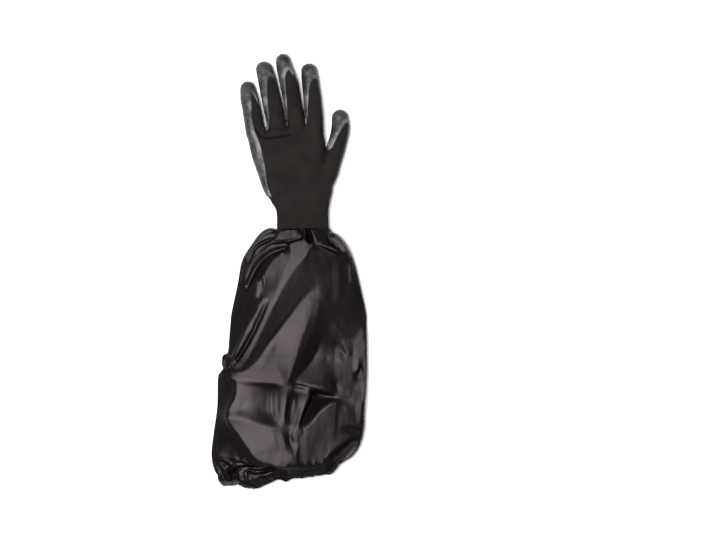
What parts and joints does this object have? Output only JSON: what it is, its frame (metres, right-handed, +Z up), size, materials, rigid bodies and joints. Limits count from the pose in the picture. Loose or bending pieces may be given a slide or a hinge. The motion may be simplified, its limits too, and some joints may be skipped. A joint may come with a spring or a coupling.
{
  "type": "snow chain glove",
  "caption": "Left-hand work glove for fitting snow chains: knitted hand with a rubber-dipped palm and fingertips, ribbed cuff, and a long loose satin sleeve gathered at wrist and elbow.",
  "frame": {"origin": "on the surface that the glove lies on, under the middle of its bounding box", "axes": "+Y along the glove towards the fingertips, +X to the thumb's side, +Z up from the surface, the back of the hand upwards"},
  "size_m": [0.2026, 0.568, 0.0528],
  "materials": {
    "knit": "fine knit, matt",
    "rubber": "crinkled dip, satin sheen",
    "rib": "ribbed knit, matt",
    "satin": "woven satin, soft sheen"
  },
  "bodies": {
    "root": {"knit_hand": "knit", "palm_dip": "rubber", "rib_cuff": "rib", "wrist_casing": "satin", "sleeve": "satin", "elbow_casing": "satin"}
  },
  "joints": []
}
